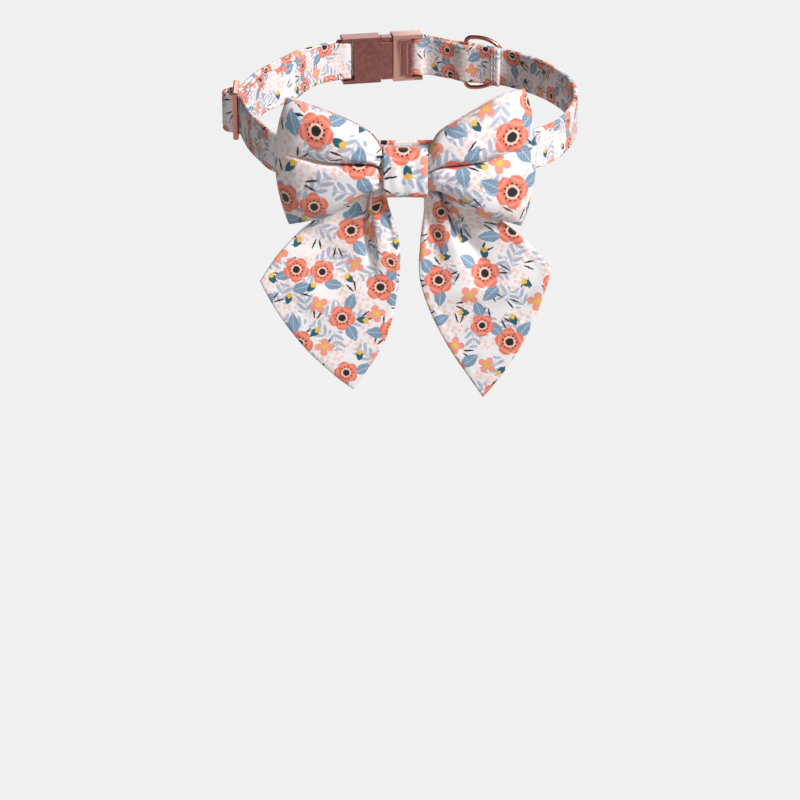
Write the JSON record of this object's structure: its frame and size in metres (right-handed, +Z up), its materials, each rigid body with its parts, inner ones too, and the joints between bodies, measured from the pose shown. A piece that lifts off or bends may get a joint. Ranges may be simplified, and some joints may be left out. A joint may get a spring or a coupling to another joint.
{
  "type": "pet bow tie collar",
  "caption": "Fastened pet collar of printed fabric strap with a metal release buckle, strap slider and leash ring, and a padded bow with pointed tails.",
  "frame": {"origin": "middle of the collar's ring, half way up the strap, where the neck holds it", "axes": "+Z up along the neck, the bow on the -Y side, +X to the wearer's left as seen from the front"},
  "size_m": [0.1771, 0.1917, 0.1566],
  "materials": {
    "strap_fabric": "printed cotton over webbing, matt",
    "bow_fabric": "printed satin cotton, soft sheen",
    "buckle_plate": "rose gold plate, satin",
    "ring_wire": "rose gold plate, polished",
    "tab_tape": "plain woven tape"
  },
  "bodies": {
    "collar": {"strap": "strap_fabric", "buckle_housing": "buckle_plate", "buckle_prong_half": "buckle_plate", "slider": "ring_wire", "bow_loops": "bow_fabric", "knot_band": "bow_fabric", "tail_left": "bow_fabric", "tail_right": "bow_fabric", "bow_tab": "tab_tape"},
    "leash_ring": {"d_ring": "ring_wire"}
  },
  "joints": [
    {"name": "leash_ring_swing", "type": "hinge", "parent": "collar", "child": "leash_ring", "pos_m": [0.03132, 0.0725, 0], "axis": [0, 0, 1], "range_deg": [-6, 132]}
  ]
}
